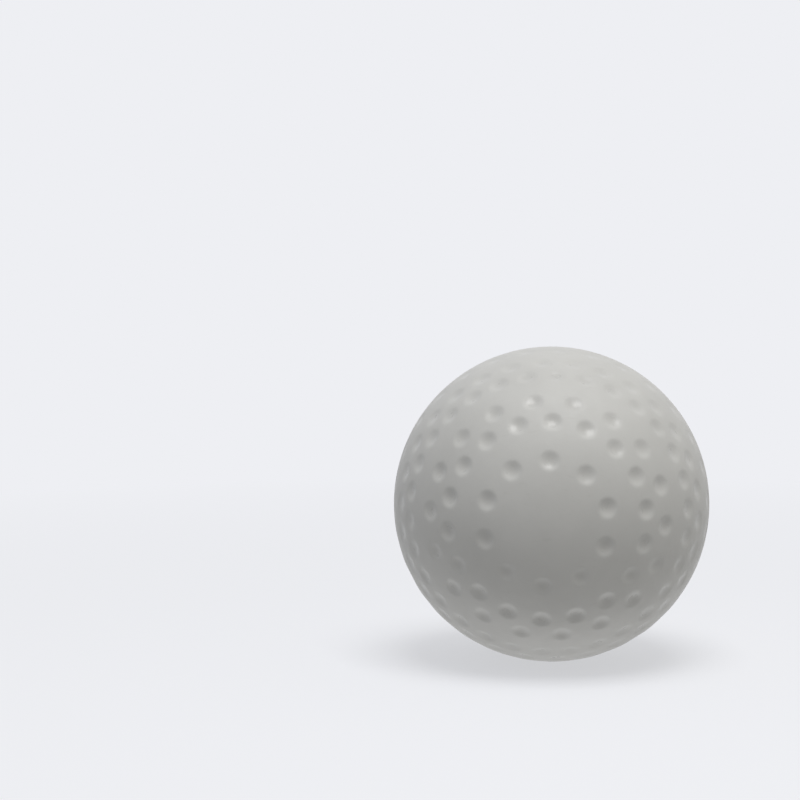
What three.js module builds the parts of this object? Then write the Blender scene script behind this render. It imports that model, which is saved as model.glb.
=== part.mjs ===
// Field hockey ball: two dimpled plastic cups, bonded at a tongue and groove seam round a solid core.
// Millimetres, +Z up, with the origin at the ball's centre. The bare round pads face -Y (front) and +Y (rear),
// the seam lies in the plane y = 0, and the ball rests on the lowest point of that seam.

import * as THREE from "three";
import { ConvexHull } from "three/addons/math/ConvexHull.js";
import { mergeGeometries, mergeVertices } from "three/addons/utils/BufferGeometryUtils.js";

// Driving dimensions, in millimetres
const ballDiameter = 73;
const coverWall = 6;
const dimpleDiameter = 4.4;
const dimpleDepth = 0.5; // below the plane of the dimple's rim
const seamLand = 3.2; // bare band between the seam and the rims of the dimples nearest to it
const tongueWidth = 2;
const tongueHeight = 2;
const bondGap = 0.3; // film of adhesive between the tongue and its groove, and round the core

// Dimple rings of one cup, from the bare pad outwards. fromPad is the angle from the pad's centre in degrees.
// A staggered ring starts half a step further round, so its dimples lie between those of the ring inside it.
const padRings = [
  { fromPad: 22.5, count: 10, staggered: false },
  { fromPad: 37.4, count: 18, staggered: false },
  { fromPad: 46.05, count: 18, staggered: true },
  { fromPad: 59.4, count: 30, staggered: false },
  { fromPad: 68.1, count: 30, staggered: true },
];
const seamRingCount = 30; // the last ring is placed from the seam, by seamLand
const patternTurn = 2.9; // turn of the rings about the pad axis, clockwise as the front pad is seen, in degrees

// Facets
const dimpleSides = 8;
const seamSides = 60; // a multiple of 4, so the ball's full diameter is met along X and Z
const bowlSteps = 9; // rings of facets on the inside of a cup
const coreSides = 40;
const padFillAngle = 8; // spacing in degrees of the points that keep the bare pad round

// Sizes that follow
const ballRadius = ballDiameter / 2;
const cavityRadius = ballRadius - coverWall;
const coreRadius = cavityRadius - bondGap;
const seamMiddle = ballRadius - coverWall / 2;
const dimpleRadius = dimpleDiameter / 2;
const dimpleReach = Math.asin(dimpleRadius / ballRadius);
const rings = [
  ...padRings.map((ring) => ({ ...ring, angle: THREE.MathUtils.degToRad(ring.fromPad) })),
  { angle: Math.PI / 2 - dimpleReach - seamLand / ballRadius, count: seamRingCount, staggered: false },
];

// A point of the front half at an angle from the pad's centre and a turn from +Z towards +X.
function frontPoint(angle, turn, radius) {
  const fromAxis = radius * Math.sin(angle);
  return new THREE.Vector3(fromAxis * Math.sin(turn), -radius * Math.cos(angle), fromAxis * Math.cos(turn));
}

// The dimples of one cup as unit vectors through their middles, with the whole pattern turned by the given angle.
function dimpleAxes(cupTurn) {
  return rings.flatMap((ring) => {
    const step = (2 * Math.PI) / ring.count;
    const start = cupTurn + (ring.staggered ? step / 2 : 0);
    return Array.from({ length: ring.count }, (_, i) => frontPoint(ring.angle, start + i * step, 1));
  });
}

// A circle of points round an axis, counter-clockwise as seen from outside the ball.
function circleRound(axis, height, radius) {
  const across = new THREE.Vector3(0, 1, 0).cross(axis).normalize();
  const along = axis.clone().cross(across);
  return Array.from({ length: dimpleSides }, (_, i) => {
    const turn = (2 * Math.PI * i) / dimpleSides;
    const point = axis.clone().multiplyScalar(height);
    point.addScaledVector(across, radius * Math.cos(turn));
    return point.addScaledVector(along, radius * Math.sin(turn));
  });
}

// One dimple: a shallow spherical bowl under a round rim that lies on the ball.
function dimpleBowl(axis) {
  const rimHeight = ballRadius * Math.cos(dimpleReach);
  const bowlRadius = (dimpleRadius ** 2 + dimpleDepth ** 2) / (2 * dimpleDepth);
  const bottomHeight = rimHeight - dimpleDepth;
  const midRadius = dimpleRadius / 2;
  const midHeight = bottomHeight + bowlRadius - Math.sqrt(bowlRadius ** 2 - midRadius ** 2);
  return {
    crown: axis.clone().multiplyScalar(ballRadius),
    rim: circleRound(axis, rimHeight, dimpleRadius),
    middle: circleRound(axis, midHeight, midRadius),
    bottom: axis.clone().multiplyScalar(bottomHeight),
  };
}

function bowlTriangles({ rim, middle, bottom }) {
  return rim.flatMap((corner, i) => {
    const next = (i + 1) % dimpleSides;
    return [
      [corner, rim[next], middle[next]],
      [corner, middle[next], middle[i]],
      [middle[i], middle[next], bottom],
    ];
  });
}

// Points on the bare pad, inside the first ring of dimples.
function padPoints() {
  const padAngle = rings[0].angle - dimpleReach;
  const circles = Math.floor(padAngle / THREE.MathUtils.degToRad(padFillAngle));
  const points = [frontPoint(0, 0, ballRadius)];
  for (let circle = 1; circle <= circles; circle += 1) {
    const count = 6 * circle;
    for (let i = 0; i < count; i += 1) {
      points.push(frontPoint((circle / (circles + 1)) * padAngle, (2 * Math.PI * i) / count, ballRadius));
    }
  }
  return points;
}

function seamPoints() {
  return Array.from({ length: seamSides }, (_, i) =>
    frontPoint(Math.PI / 2, (2 * Math.PI * i) / seamSides, ballRadius));
}

// The land between the dimples: the convex skin over all rims, without what spans a dimple or closes the seam.
function landTriangles(dimples) {
  const behindSeam = new THREE.Vector3(0, ballRadius, 0);
  const spanning = new Set([behindSeam, ...dimples.map((dimple) => dimple.crown)]);
  const points = [...spanning, ...dimples.flatMap((dimple) => dimple.rim), ...padPoints(), ...seamPoints()];
  const skin = new ConvexHull().setFromPoints(points);
  const triangles = skin.faces.map(({ edge }) => [edge.tail().point, edge.head().point, edge.next.head().point]);
  return triangles.filter((corners) => !corners.some((corner) => spanning.has(corner)));
}

function geometryOf(triangles) {
  return new THREE.BufferGeometry().setFromPoints(triangles.flat());
}

// The inside of a cup and its seam face, turned about the pad axis. The joint is the outline of the tongue or
// groove from its outer to its inner edge.
function insideGeometry(joint) {
  const bowl = Array.from({ length: bowlSteps + 1 }, (_, i) => {
    const rise = (Math.PI / 2) * (i / bowlSteps);
    return new THREE.Vector2(cavityRadius * Math.cos(rise), -cavityRadius * Math.sin(rise));
  });
  bowl[bowlSteps].x = 0;
  const outline = [new THREE.Vector2(ballRadius, 0), ...joint, ...bowl];
  const lathe = new THREE.LatheGeometry(outline, seamSides).toNonIndexed();
  lathe.deleteAttribute("normal");
  lathe.deleteAttribute("uv");
  return lathe;
}

// A step in the seam face, standing out of it (tongue) or cut into it (groove).
function seamStep(width, height) {
  const outer = seamMiddle + width / 2;
  const inner = seamMiddle - width / 2;
  return [[outer, 0], [outer, height], [inner, height], [inner, 0]].map(([r, y]) => new THREE.Vector2(r, y));
}

function cupGeometry(cupTurn, joint) {
  const dimples = dimpleAxes(cupTurn).map(dimpleBowl);
  const outside = geometryOf([...landTriangles(dimples), ...dimples.flatMap(bowlTriangles)]);
  return mergeVertices(mergeGeometries([outside, insideGeometry(joint)]));
}

function shaded(geometry) {
  geometry.computeVertexNormals();
  return geometry;
}

const coverPlastic = new THREE.MeshStandardMaterial({ color: 0xe4e4df, roughness: 0.42, metalness: 0 });
const corkRubber = new THREE.MeshStandardMaterial({ color: 0x94714f, roughness: 0.9, metalness: 0 });

const frontTurn = THREE.MathUtils.degToRad(patternTurn);
const tongue = seamStep(tongueWidth, tongueHeight);
const coverFront = new THREE.Mesh(shaded(cupGeometry(frontTurn, tongue)), coverPlastic);
coverFront.name = "cover_front";

// The rear cup is turned half a step of the seam ring, so the dimples on either side of the seam are staggered.
const rearTurn = -frontTurn + Math.PI / seamRingCount;
const groove = seamStep(tongueWidth + 2 * bondGap, -(tongueHeight + bondGap));
const coverRear = new THREE.Mesh(shaded(cupGeometry(rearTurn, groove)), coverPlastic);
coverRear.name = "cover_rear";
coverRear.rotation.z = Math.PI;

const core = new THREE.Mesh(new THREE.SphereGeometry(coreRadius, coreSides, coreSides / 2), corkRubber);
core.name = "core";

const ball = new THREE.Group();
ball.name = "field_hockey_ball";
ball.add(coverFront, coverRear, core);

export default ball;
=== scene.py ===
import math

import bpy
import numpy as np
from mathutils import Matrix, Vector
from mathutils.geometry import delaunay_2d_cdt


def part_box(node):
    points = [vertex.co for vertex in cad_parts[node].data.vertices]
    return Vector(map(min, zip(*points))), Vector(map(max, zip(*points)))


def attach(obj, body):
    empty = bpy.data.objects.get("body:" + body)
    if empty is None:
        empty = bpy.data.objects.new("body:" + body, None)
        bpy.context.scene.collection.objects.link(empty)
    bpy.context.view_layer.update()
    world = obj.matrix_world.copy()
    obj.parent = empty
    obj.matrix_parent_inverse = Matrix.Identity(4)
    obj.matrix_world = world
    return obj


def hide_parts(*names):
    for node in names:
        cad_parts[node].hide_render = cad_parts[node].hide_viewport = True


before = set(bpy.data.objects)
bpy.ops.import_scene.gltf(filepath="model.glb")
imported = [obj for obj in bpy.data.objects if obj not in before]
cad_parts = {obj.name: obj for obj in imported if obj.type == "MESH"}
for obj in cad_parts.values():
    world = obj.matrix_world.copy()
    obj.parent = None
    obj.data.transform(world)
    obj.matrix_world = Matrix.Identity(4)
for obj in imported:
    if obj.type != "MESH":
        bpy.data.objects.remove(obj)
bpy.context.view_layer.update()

mm = 0.001
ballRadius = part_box("cover_front")[1].x
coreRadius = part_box("core")[1].x
print("frame loaded, ball diameter", round(2 * ballRadius / mm, 2), "mm")


# Camera: it looks past the ball, up and to the left, so the ball falls in the lower right of the picture
cameraView = {
    "azimuth": 1.76,          # degrees, from straight in front of the pad
    "elevation": 7.5,
    "distance": 0.6238,       # metres
    "clipStart": 0.01,
    "frameSize": 800,         # pixels
    "ballMiddle": (551.1, 503.7),
    "focalPixels": 2680,
    "sensor": 36,             # millimetres
}


def placeCamera(view):
    azimuth, elevation = math.radians(view["azimuth"]), math.radians(view["elevation"])
    away = Vector((math.sin(azimuth) * math.cos(elevation), -math.cos(azimuth) * math.cos(elevation),
                   math.sin(elevation)))
    half = view["frameSize"] / 2
    across, down = view["ballMiddle"]
    # Towards the ball's middle, in the camera's own axes
    seen = Vector((across - half, half - down, -view["focalPixels"])).normalized()
    pitch = math.asin(-away.z / math.hypot(seen.y, seen.z)) - math.atan2(seen.y, -seen.z)
    level = Matrix.Rotation(math.pi / 2 + pitch, 3, "X") @ seen
    yaw = math.atan2(-away.y, -away.x) - math.atan2(level.y, level.x)
    bpy.ops.object.camera_add(location=away * view["distance"], rotation=(math.pi / 2 + pitch, 0, yaw))
    camera = bpy.context.object
    camera.data.sensor_width = view["sensor"]
    camera.data.lens = view["focalPixels"] / view["frameSize"] * view["sensor"]
    camera.data.clip_start = view["clipStart"]
    bpy.context.scene.camera = camera


placeCamera(cameraView)
print("camera placed")


# Node helpers
def startMaterial(name):
    material = bpy.data.materials.new(name)
    material.use_nodes = True
    material.node_tree.nodes.clear()
    return material, material.node_tree


def addNode(tree, kind, values=None, **settings):
    node = tree.nodes.new(kind)
    for key, value in settings.items():
        setattr(node, key, value)
    for socket, value in (values or {}).items():
        node.inputs[socket].default_value = value
    return node


def objectNoise(tree, scale, detail, roughness):
    place = addNode(tree, "ShaderNodeTexCoord")
    noise = addNode(tree, "ShaderNodeTexNoise", {"Scale": scale, "Detail": detail, "Roughness": roughness})
    tree.links.new(place.outputs["Object"], noise.inputs["Vector"])
    return noise.outputs["Fac"]


# Thin streaks that all run one way, for scuffs
def objectStreaks(tree, turn, stretch, scale, detail, roughness):
    place = addNode(tree, "ShaderNodeTexCoord")
    drawn = addNode(tree, "ShaderNodeMapping", {"Rotation": turn, "Scale": stretch})
    noise = addNode(tree, "ShaderNodeTexNoise", {"Scale": scale, "Detail": detail, "Roughness": roughness})
    tree.links.new(place.outputs["Object"], drawn.inputs["Vector"])
    tree.links.new(drawn.outputs["Vector"], noise.inputs["Vector"])
    return noise.outputs["Fac"]


def spread(tree, source, fromLow, fromHigh, toLow, toHigh, ease="LINEAR"):
    limits = {"From Min": fromLow, "From Max": fromHigh, "To Min": toLow, "To Max": toHigh}
    ranged = addNode(tree, "ShaderNodeMapRange", limits, interpolation_type=ease)
    tree.links.new(source, ranged.inputs["Value"])
    return ranged.outputs["Result"]


def combine(tree, operation, first, second):
    maths = addNode(tree, "ShaderNodeMath", operation=operation)
    tree.links.new(first, maths.inputs[0])
    tree.links.new(second, maths.inputs[1])
    return maths.outputs[0]


# Numbers of a Mix node's sockets: its two inputs and its result
mixSockets = {"RGBA": (6, 7, 2), "FLOAT": (2, 3, 0)}


def mixTwo(tree, kind, share, first, second):
    mix = addNode(tree, "ShaderNodeMix", data_type=kind)
    firstSocket, secondSocket, result = mixSockets[kind]
    tree.links.new(share, mix.inputs["Factor"])
    for socket, value in ((mix.inputs[firstSocket], first), (mix.inputs[secondSocket], second)):
        if isinstance(value, tuple):
            socket.default_value = value
        else:
            tree.links.new(value, socket)
    return mix.outputs[result]


# Cover plastic: off-white moulded PVC, faintly cloudy, with a skin that a mould has left a little uneven.
# The land is scuffed to a satin by use, and its scuffs hold a little dirt. The hollows keep more of the
# mould's gloss, and painted shade that darkens them towards their middle.
coverPlastic = {
    "clear": (0.737, 0.733, 0.704, 1),
    "cloudy": (0.692, 0.688, 0.66, 1),
    "speck": (0.60, 0.592, 0.56, 1),
    # Colour of the painted shade in the hollows, also used for the dirt held in the scuffs
    "dirtAndShadeColour": (0.56, 0.55, 0.51, 1),
    "clouds": {"scale": 70, "detail": 4, "roughness": 0.55},
    "specks": {"scale": 1500, "detail": 2, "roughness": 0.5},
    "skin": {"scale": 420, "detail": 3, "roughness": 0.5},
    "grain": {"scale": 4600, "detail": 2, "roughness": 0.5},
    "streakWays": ({"turn": (0.5, 0.3, 0.9), "scale": 150}, {"turn": (1.9, 0.8, 0.2), "scale": 190}),
    "streaks": {"stretch": (1, 16, 5), "detail": 3, "roughness": 0.6},
    "cloudRange": (0.35, 0.7),  # noise values between which a pattern comes in
    "speckRange": (0.7, 0.8),
    "scuffRange": (0.63, 0.72),
    "skinRange": (0.3, 0.7),
    "landRange": (0.2, 0.5),    # shares of a dimple's depth, over which the land's finish ends
    "paintedShadeRange": (0.4, 1),
    "speckShare": 0.25,
    "paintedShadeShare": 0.2,          # painted shade at the bottom of a dimple
    "scuffShare": 0.1,          # how much of the dirt colour a scuff holds
    "scuffed": (0.46, 0.56),    # roughness of the land
    "moulded": (0.26, 0.32),    # roughness of the hollows
    "scuffRough": 0.1,          # what a scuff adds to it
    "waveDepth": 0.04 * mm,     # unevenness of the skin
    "waveStrength": 0.5,
    "grainDepth": 0.02 * mm,    # fine grain of the mould
    "grainLand": 0.6,
    "grainHollow": 0.15,
    "refraction": 1.5,
}


def makeCoverPlastic(look):
    material, tree = startMaterial("cover_plastic")
    clouds = objectNoise(tree, **look["clouds"])
    specks = objectNoise(tree, **look["specks"])
    skin = objectNoise(tree, **look["skin"])
    grain = objectNoise(tree, **look["grain"])
    oneWay, otherWay = (objectStreaks(tree, **way, **look["streaks"]) for way in look["streakWays"])
    streaks = combine(tree, "MAXIMUM", oneWay, otherWay)
    hollow = addNode(tree, "ShaderNodeAttribute", attribute_name="hollow").outputs["Fac"]
    cloudShare = spread(tree, clouds, *look["cloudRange"], 0, 1)
    speckShare = spread(tree, specks, *look["speckRange"], 0, look["speckShare"])
    colour = mixTwo(tree, "RGBA", cloudShare, look["clear"], look["cloudy"])
    colour = mixTwo(tree, "RGBA", speckShare, colour, look["speck"])
    land = spread(tree, hollow, *look["landRange"], 1, 0)
    scuffs = combine(tree, "MULTIPLY", land, spread(tree, streaks, *look["scuffRange"], 0, 1))
    # Painted shade in the hollows, darkest at the bottom of a dimple, plus dirt held in the scuffs of the
    # land
    scuffDirtAndPaintedShade = combine(tree, "ADD", spread(tree, hollow, *look["paintedShadeRange"], 0, look["paintedShadeShare"]),
                   spread(tree, scuffs, 0, 1, 0, look["scuffShare"]))
    colour = mixTwo(tree, "RGBA", scuffDirtAndPaintedShade, colour, look["dirtAndShadeColour"])
    scuffed = spread(tree, skin, *look["skinRange"], *look["scuffed"])
    moulded = spread(tree, skin, *look["skinRange"], *look["moulded"])
    gloss = combine(tree, "ADD", mixTwo(tree, "FLOAT", land, moulded, scuffed),
                    spread(tree, scuffs, 0, 1, 0, look["scuffRough"]))
    waves = addNode(tree, "ShaderNodeBump", {"Strength": look["waveStrength"],
                                             "Distance": look["waveDepth"]})
    fine = addNode(tree, "ShaderNodeBump", {"Distance": look["grainDepth"]})
    shader = addNode(tree, "ShaderNodeBsdfPrincipled", {"IOR": look["refraction"]})
    output = addNode(tree, "ShaderNodeOutputMaterial")
    links = tree.links
    links.new(skin, waves.inputs["Height"])
    links.new(waves.outputs["Normal"], fine.inputs["Normal"])
    links.new(grain, fine.inputs["Height"])
    links.new(spread(tree, land, 0, 1, look["grainHollow"], look["grainLand"]), fine.inputs["Strength"])
    links.new(colour, shader.inputs["Base Color"])
    links.new(gloss, shader.inputs["Roughness"])
    links.new(fine.outputs["Normal"], shader.inputs["Normal"])
    links.new(shader.outputs["BSDF"], output.inputs["Surface"])
    return material


# Cork and rubber: tan granules of several shades, with a dark binder in the joints between them
corkRubber = {
    "granules": ((0.16, 0.085, 0.04, 1), (0.42, 0.27, 0.15, 1)),
    "binder": (0.045, 0.03, 0.022, 1),
    "tintScale": 420,
    "fibre": {"scale": 1800, "detail": 4, "roughness": 0.6},
    "fibreRange": (0.3, 0.7),
    "roughness": (0.75, 0.95),
    "jointRange": (0.45, 0.75),    # shares of a joint's depth, over which the binder comes in
    "bumpDepth": 0.1 * mm,
    "bumpStrength": 0.6,
    "refraction": 1.45,
}


def makeCorkRubber(look):
    material, tree = startMaterial("cork_rubber")
    place = addNode(tree, "ShaderNodeTexCoord")
    cells = addNode(tree, "ShaderNodeTexVoronoi", {"Scale": look["tintScale"]})
    joint = addNode(tree, "ShaderNodeAttribute", attribute_name="joint").outputs["Fac"]
    fibre = objectNoise(tree, **look["fibre"])
    tint = addNode(tree, "ShaderNodeSeparateColor")
    bump = addNode(tree, "ShaderNodeBump", {"Strength": look["bumpStrength"],
                                            "Distance": look["bumpDepth"]})
    shader = addNode(tree, "ShaderNodeBsdfPrincipled", {"IOR": look["refraction"]})
    output = addNode(tree, "ShaderNodeOutputMaterial")
    links = tree.links
    links.new(place.outputs["Object"], cells.inputs["Vector"])
    links.new(cells.outputs["Color"], tint.inputs["Color"])
    granule = mixTwo(tree, "RGBA", tint.outputs["Red"], *look["granules"])
    binderShare = spread(tree, joint, *look["jointRange"], 0, 1)
    links.new(mixTwo(tree, "RGBA", binderShare, granule, look["binder"]), shader.inputs["Base Color"])
    links.new(spread(tree, fibre, *look["fibreRange"], *look["roughness"]), shader.inputs["Roughness"])
    links.new(fibre, bump.inputs["Height"])
    links.new(bump.outputs["Normal"], shader.inputs["Normal"])
    links.new(shader.outputs["BSDF"], output.inputs["Surface"])
    return material


# Cover: two cups, each a dimpled skin with a seam joint and a smooth inside
cover = {
    "dimpleRadius": 2.2 * mm,
    "dimpleDepth": 0.56 * mm,     # at the middle of a dimple near the pad, below the ball's surface
    "shallowFrom": 38,            # degrees from the pad's middle, from where the dimples get shallower
    "seamAngle": 90,
    "seamShare": 0.4,             # of the full depth, at the seam
    "bowlPower": 1.75,            # 2 is a round bowl, less is steeper towards the middle
    "lipRound": 0.2 * mm,
    "dimpleSides": 24,
    "dimpleRings": (0.3, 0.55, 0.75, 0.88, 0.97, 1.06, 1.16, 1.28),   # shares of the dimple's radius
    "landSpacing": 1.0 * mm,
    "landArea": 0.866,            # of one point, in squares of the spacing
    "landClear": 0.45 * mm,       # between the outer ring of a dimple and the first point of the land
    "landSeamClear": 0.8,         # of the spacing, between the last ring of the seam and the land
    "seamSides": 240,
    "seamRings": (0, 0.05, 0.11, 0.19, 0.32, 0.6, 1.2),               # millimetres from the seam
    "seamRound": 0.12 * mm,       # how far the edge at the seam is rounded off
    "seamRoundWidth": 0.3 * mm,
    "bondGap": 0.3 * mm,
    "tongueWidth": 2 * mm,
    "tongueHeight": 2 * mm,
    "bowlSteps": 14,
    "sharpAngle": 50,             # degrees, past which an edge stays sharp
    "outsideDepth": 1 * mm,       # a CAD corner no deeper than this is on the outside
    "sameDepth": 0.01 * mm,
    "axisDigits": 5,
    "joinTolerance": 1e-7,
}


# The lowest outside points of a cup's CAD node are the middles of its dimples
def dimpleAxes(nodeName):
    corners = [v.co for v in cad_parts[nodeName].data.vertices]
    outside = [c for c in corners if c.length > ballRadius - cover["outsideDepth"]]
    deepest = min(c.length for c in outside)
    middles = [c.normalized() for c in outside if c.length < deepest + cover["sameDepth"]]
    rounded = {tuple(round(part, cover["axisDigits"]) for part in m) for m in middles}
    return [Vector(m) for m in sorted(rounded)]


def ringRound(axis, distance, sides, turn):
    across = Vector((0, 1, 0)).cross(axis).normalized()
    along = axis.cross(across)
    angle = distance / ballRadius
    points = []
    for i in range(sides):
        t = 2 * math.pi * (i + turn) / sides
        spoke = across * math.cos(t) + along * math.sin(t)
        points.append(axis * math.cos(angle) + spoke * math.sin(angle))
    return points


# Dimples get shallower towards the seam, so that the cup can leave its mould
def depthOf(axis, side):
    past = max(math.degrees(math.acos(side * axis.y)) - cover["shallowFrom"], 0)
    lost = (1 - cover["seamShare"]) * past / (cover["seamAngle"] - cover["shallowFrom"])
    return cover["dimpleDepth"] * (1 - lost)


# A shallow bowl that runs out into the ball's surface over a rounded lip
def dimpleSink(distance, depth):
    bowl = depth * (1 - (distance / cover["dimpleRadius"]) ** cover["bowlPower"])
    soft = max(cover["lipRound"] - abs(bowl), 0) / cover["lipRound"]
    return max(bowl, 0) + soft * soft * cover["lipRound"] / 4


def seamSink(distance):
    share = max(1 - distance / cover["seamRoundWidth"], 0)
    return cover["seamRound"] * share * share


# Points of a cup's outside as unit vectors, each with how far it lies under the ball's surface
def skinPoints(axes, side):
    points = []
    for axis in axes:
        depth = depthOf(axis, side)
        points.append((axis, dimpleSink(0, depth)))
        for number, share in enumerate(cover["dimpleRings"]):
            distance = share * cover["dimpleRadius"]
            turn = number % 2 / 2    # every other ring is turned by half a step
            ring = ringRound(axis, distance, cover["dimpleSides"], turn)
            points += [(point, dimpleSink(distance, depth)) for point in ring]
    for distance in cover["seamRings"]:
        rise = side * distance * mm / ballRadius
        for i in range(cover["seamSides"]):
            t = 2 * math.pi * i / cover["seamSides"]
            point = Vector((math.cos(rise) * math.sin(t), math.sin(rise), math.cos(rise) * math.cos(t)))
            points.append((point, seamSink(distance * mm)))
    reach = cover["dimpleRings"][-1] * cover["dimpleRadius"] + cover["landClear"]
    seamReach = cover["seamRings"][-1] * mm + cover["landSeamClear"] * cover["landSpacing"]
    lowestLand = seamReach / ballRadius
    middles = np.array(axes)
    count = round(4 * math.pi * ballRadius ** 2 / (cover["landArea"] * cover["landSpacing"] ** 2))
    goldenAngle = math.pi * (3 - math.sqrt(5))
    for i in range(count):
        rise = 1 - 2 * (i + 0.5) / count
        if side * rise < lowestLand:
            continue
        t = goldenAngle * i
        flat = math.sqrt(1 - rise * rise)
        point = Vector((flat * math.sin(t), rise, flat * math.cos(t)))
        if (middles @ np.array(point)).max() < math.cos(reach / ballRadius):
            points.append((point, 0))
    return points


# The points are joined up flat, as seen from the far side of the ball, which keeps every circle a circle.
# How deep each one lies is kept on the mesh, for the plastic's gloss and the painted shade in its hollows.
def skinMesh(name, points, side):
    flat = [Vector((p.x, p.z)) / (1 + side * p.y) for p, sink in points]
    faces, sources = delaunay_2d_cdt(flat, [], [], 0, cover["joinTolerance"])[2:4]
    kept = [points[found[0]] for found in sources]
    mesh = bpy.data.meshes.new(name)
    mesh.from_pydata([point * (ballRadius - sink) for point, sink in kept], [], faces)
    hollow = mesh.attributes.new("hollow", "FLOAT", "POINT")
    hollow.data.foreach_set("value", [sink / cover["dimpleDepth"] for point, sink in kept])
    cup = bpy.data.objects.new(name, mesh)
    bpy.context.scene.collection.objects.link(cup)
    return cup


def selectOnly(piece):
    bpy.ops.object.select_all(action="DESELECT")
    piece.select_set(True)
    bpy.context.view_layer.objects.active = piece


# Radius and depth of each turn of the inside, from the seam's edge over the joint to the bottom of the bowl
def insideOutline(side, hasTongue):
    cavity = coreRadius + cover["bondGap"]
    middle = (ballRadius + cavity) / 2
    half = cover["tongueWidth"] / 2
    height = -side * cover["tongueHeight"]
    if not hasTongue:
        half += cover["bondGap"]
        height = side * (cover["tongueHeight"] + cover["bondGap"])
    outline = [(middle + half, 0), (middle + half, height), (middle - half, height), (middle - half, 0)]
    for i in range(cover["bowlSteps"]):
        rise = math.pi / 2 * i / cover["bowlSteps"]
        outline.append((cavity * math.cos(rise), side * cavity * math.sin(rise)))
    return outline


def makeCup(nodeName, side, hasTongue, plastic):
    axes = dimpleAxes(nodeName)
    cup = skinMesh(nodeName + "_skin", skinPoints(axes, side), side)
    selectOnly(cup)
    bpy.ops.object.mode_set(mode="EDIT")
    bpy.ops.mesh.select_mode(type="EDGE")
    bpy.ops.mesh.select_all(action="DESELECT")
    bpy.ops.mesh.select_non_manifold()
    radius, depth = ballRadius - cover["seamRound"], 0
    for nextRadius, nextDepth in insideOutline(side, hasTongue):
        share = nextRadius / radius
        bpy.ops.mesh.extrude_edges_move()
        bpy.ops.transform.resize(value=(share, 1, share), center_override=(0, 0, 0))
        bpy.ops.transform.translate(value=(0, nextDepth - depth, 0))
        radius, depth = nextRadius, nextDepth
    bpy.ops.mesh.extrude_edges_move()
    bpy.ops.transform.translate(value=(0, side * (coreRadius + cover["bondGap"]) - depth, 0))
    bpy.ops.mesh.merge(type="CENTER")
    bpy.ops.mesh.select_all(action="SELECT")
    bpy.ops.mesh.normals_make_consistent(inside=False)
    bpy.ops.object.mode_set(mode="OBJECT")
    bpy.ops.object.shade_smooth_by_angle(angle=math.radians(cover["sharpAngle"]))
    cup.data.materials.append(plastic)
    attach(cup, "root")
    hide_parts(nodeName)
    print(cup.name, len(axes), "dimples,", len(cup.data.polygons), "faces")


plastic = makeCoverPlastic(coverPlastic)
makeCup("cover_front", -1, True, plastic)
makeCup("cover_rear", 1, False, plastic)


# Core: a ball of bound granules, whose joints are pressed in a little
core = {
    "granuleSize": 2.4 * mm,
    "jointDepth": 0.3 * mm,
    "subdivisions": 7,
}


def makeCore(look):
    bpy.ops.object.select_all(action="DESELECT")
    bpy.ops.mesh.primitive_ico_sphere_add(subdivisions=look["subdivisions"], radius=coreRadius)
    ball = bpy.context.object
    ball.name = "core_granules"
    granules = bpy.data.textures.new("granules", "VORONOI")
    granules.noise_scale = look["granuleSize"]
    press = ball.modifiers.new("press", "DISPLACE")
    press.texture = granules
    press.texture_coords = "LOCAL"
    press.mid_level = 0
    press.strength = -look["jointDepth"]
    bpy.ops.object.modifier_apply(modifier=press.name)
    bpy.ops.object.shade_smooth()
    sinks = np.array([(coreRadius - v.co.length) / look["jointDepth"] for v in ball.data.vertices])
    joint = ball.data.attributes.new("joint", "FLOAT", "POINT")
    joint.data.foreach_set("value", sinks)
    ball.data.materials.append(makeCorkRubber(corkRubber))
    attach(ball, "root")
    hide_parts("core")
    deepest = round(sinks.max(), 2)
    print(ball.name, len(ball.data.polygons), "faces, joints up to", deepest, "of their depth")


makeCore(core)


# Studio: a pale floor and backdrop of one colour, and low light from all round.
# The floor is a light table with a painted shadow right under the ball, and the room is a little warmer on
# the right.
studio = {
    "pale": (0.855, 0.863, 0.896, 1),
    "tableGlow": (0.226, 0.226, 0.226, 1),    # what the floor gives to the ball
    "floorSize": 40,                          # metres
    "floorLit": (0.45, 0.455, 0.47, 1),       # the share of the floor's colour that takes the ball's shadow
    "floorGlow": 0.605,
    "paintedShadowGlow": 0.5,                       # painted shadow: the glow is lowered to this right under the ball
    "paintedShadowReach": 0.05,                     # metres from there to where the painted shadow ends and the glow is whole
    "fade": (0.12, 0.35),                     # metres over which the floor goes over to the plain colour
    "roomLeft": (0.307, 0.316, 0.339, 1),
    "roomRight": (0.415, 0.406, 0.382, 1),
}


# Rays that see the floor and the room as the picture shows them: straight, mirrored or let through
def paleRay(tree):
    rays = addNode(tree, "ShaderNodeLightPath").outputs
    shown = combine(tree, "MAXIMUM", rays["Is Camera Ray"], rays["Is Glossy Ray"])
    return combine(tree, "MAXIMUM", shown, rays["Is Transmission Ray"])


def mixShaders(tree, share, first, second):
    mix = addNode(tree, "ShaderNodeMixShader")
    tree.links.new(share, mix.inputs[0])
    tree.links.new(first, mix.inputs[1])
    tree.links.new(second, mix.inputs[2])
    return mix.outputs[0]


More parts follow.
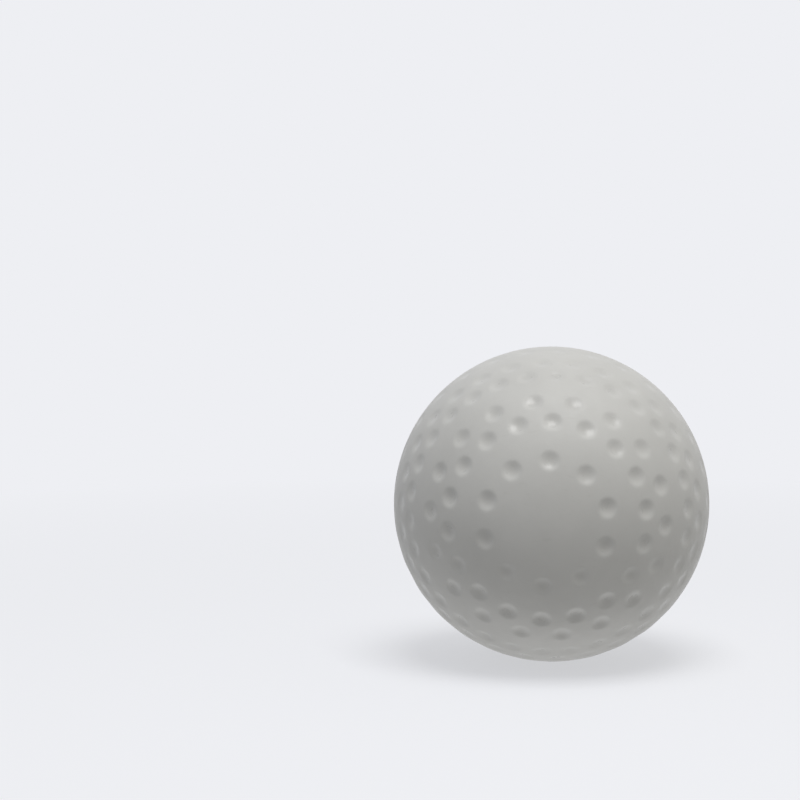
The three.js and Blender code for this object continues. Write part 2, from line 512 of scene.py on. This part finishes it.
def makeFloor(look):
    material, tree = startMaterial("studio_floor")
    place = addNode(tree, "ShaderNodeTexCoord")
    reach = addNode(tree, "ShaderNodeVectorMath", operation="LENGTH")
    table = addNode(tree, "ShaderNodeEmission", {"Color": look["tableGlow"], "Strength": 1})
    lit = addNode(tree, "ShaderNodeBsdfDiffuse", {"Color": look["floorLit"]})
    glow = addNode(tree, "ShaderNodeEmission", {"Color": look["pale"]})
    both = addNode(tree, "ShaderNodeAddShader")
    plain = addNode(tree, "ShaderNodeEmission", {"Color": look["pale"], "Strength": 1})
    output = addNode(tree, "ShaderNodeOutputMaterial")
    links = tree.links
    links.new(place.outputs["Object"], reach.inputs[0])
    # Painted shadow: the floor's glow is lowered towards the point right under the ball
    under = spread(tree, reach.outputs["Value"], 0, look["paintedShadowReach"],
                   look["paintedShadowGlow"], look["floorGlow"], ease="SMOOTHSTEP")
    links.new(under, glow.inputs["Strength"])
    links.new(lit.outputs[0], both.inputs[0])
    links.new(glow.outputs[0], both.inputs[1])
    far = spread(tree, reach.outputs["Value"], *look["fade"], 0, 1)
    seen = mixShaders(tree, far, both.outputs[0], plain.outputs[0])
    links.new(mixShaders(tree, paleRay(tree), table.outputs[0], seen), output.inputs["Surface"])
    bpy.ops.mesh.primitive_plane_add(size=look["floorSize"], location=(0, 0, -ballRadius))
    floor = bpy.context.object
    floor.name = "studio_floor"
    floor.data.materials.append(material)
    material.cycles.emission_sampling = "NONE"    # smoother than if so wide a glow is sampled as a lamp
    floor.visible_shadow = False                  # lets the light table's lamp through


def makeWorld(look):
    world = bpy.data.worlds.new("studio_room")
    bpy.context.scene.world = world
    world.use_nodes = True
    tree = world.node_tree
    tree.nodes.clear()
    way = addNode(tree, "ShaderNodeTexCoord")
    parts = addNode(tree, "ShaderNodeSeparateXYZ")
    room = addNode(tree, "ShaderNodeBackground", {"Strength": 1})
    pale = addNode(tree, "ShaderNodeBackground", {"Color": look["pale"], "Strength": 1})
    output = addNode(tree, "ShaderNodeOutputWorld")
    tree.links.new(way.outputs["Generated"], parts.inputs["Vector"])
    rightness = spread(tree, parts.outputs["X"], -1, 1, 0, 1)
    colour = mixTwo(tree, "RGBA", rightness, look["roomLeft"], look["roomRight"])
    tree.links.new(colour, room.inputs["Color"])
    shown = mixShaders(tree, paleRay(tree), room.outputs[0], pale.outputs[0])
    tree.links.new(shown, output.inputs["Surface"])


# Lamps: a softbox overhead, and a wide one that shines up through the light table
lamps = {
    "softbox": {"place": (0.08, -0.24, 0.86), "size": (0.5, 0.5), "watts": 3.63},
    "light_table": {"place": (-0.03, 0.2, -0.78), "size": (1.2, 0.5), "watts": 2.36},
}


def makeLamp(name, place, size, watts):
    bpy.ops.object.light_add(type="AREA", location=place)
    lamp = bpy.context.object
    lamp.name = name
    lamp.rotation_euler = (-Vector(place)).to_track_quat("-Z", "Y").to_euler()
    lamp.data.shape = "RECTANGLE"
    lamp.data.size, lamp.data.size_y = size
    lamp.data.energy = watts


makeFloor(studio)
makeWorld(studio)
for name, lamp in lamps.items():
    makeLamp(name, **lamp)
bpy.context.scene.view_settings.view_transform = "Standard"
print("studio set")
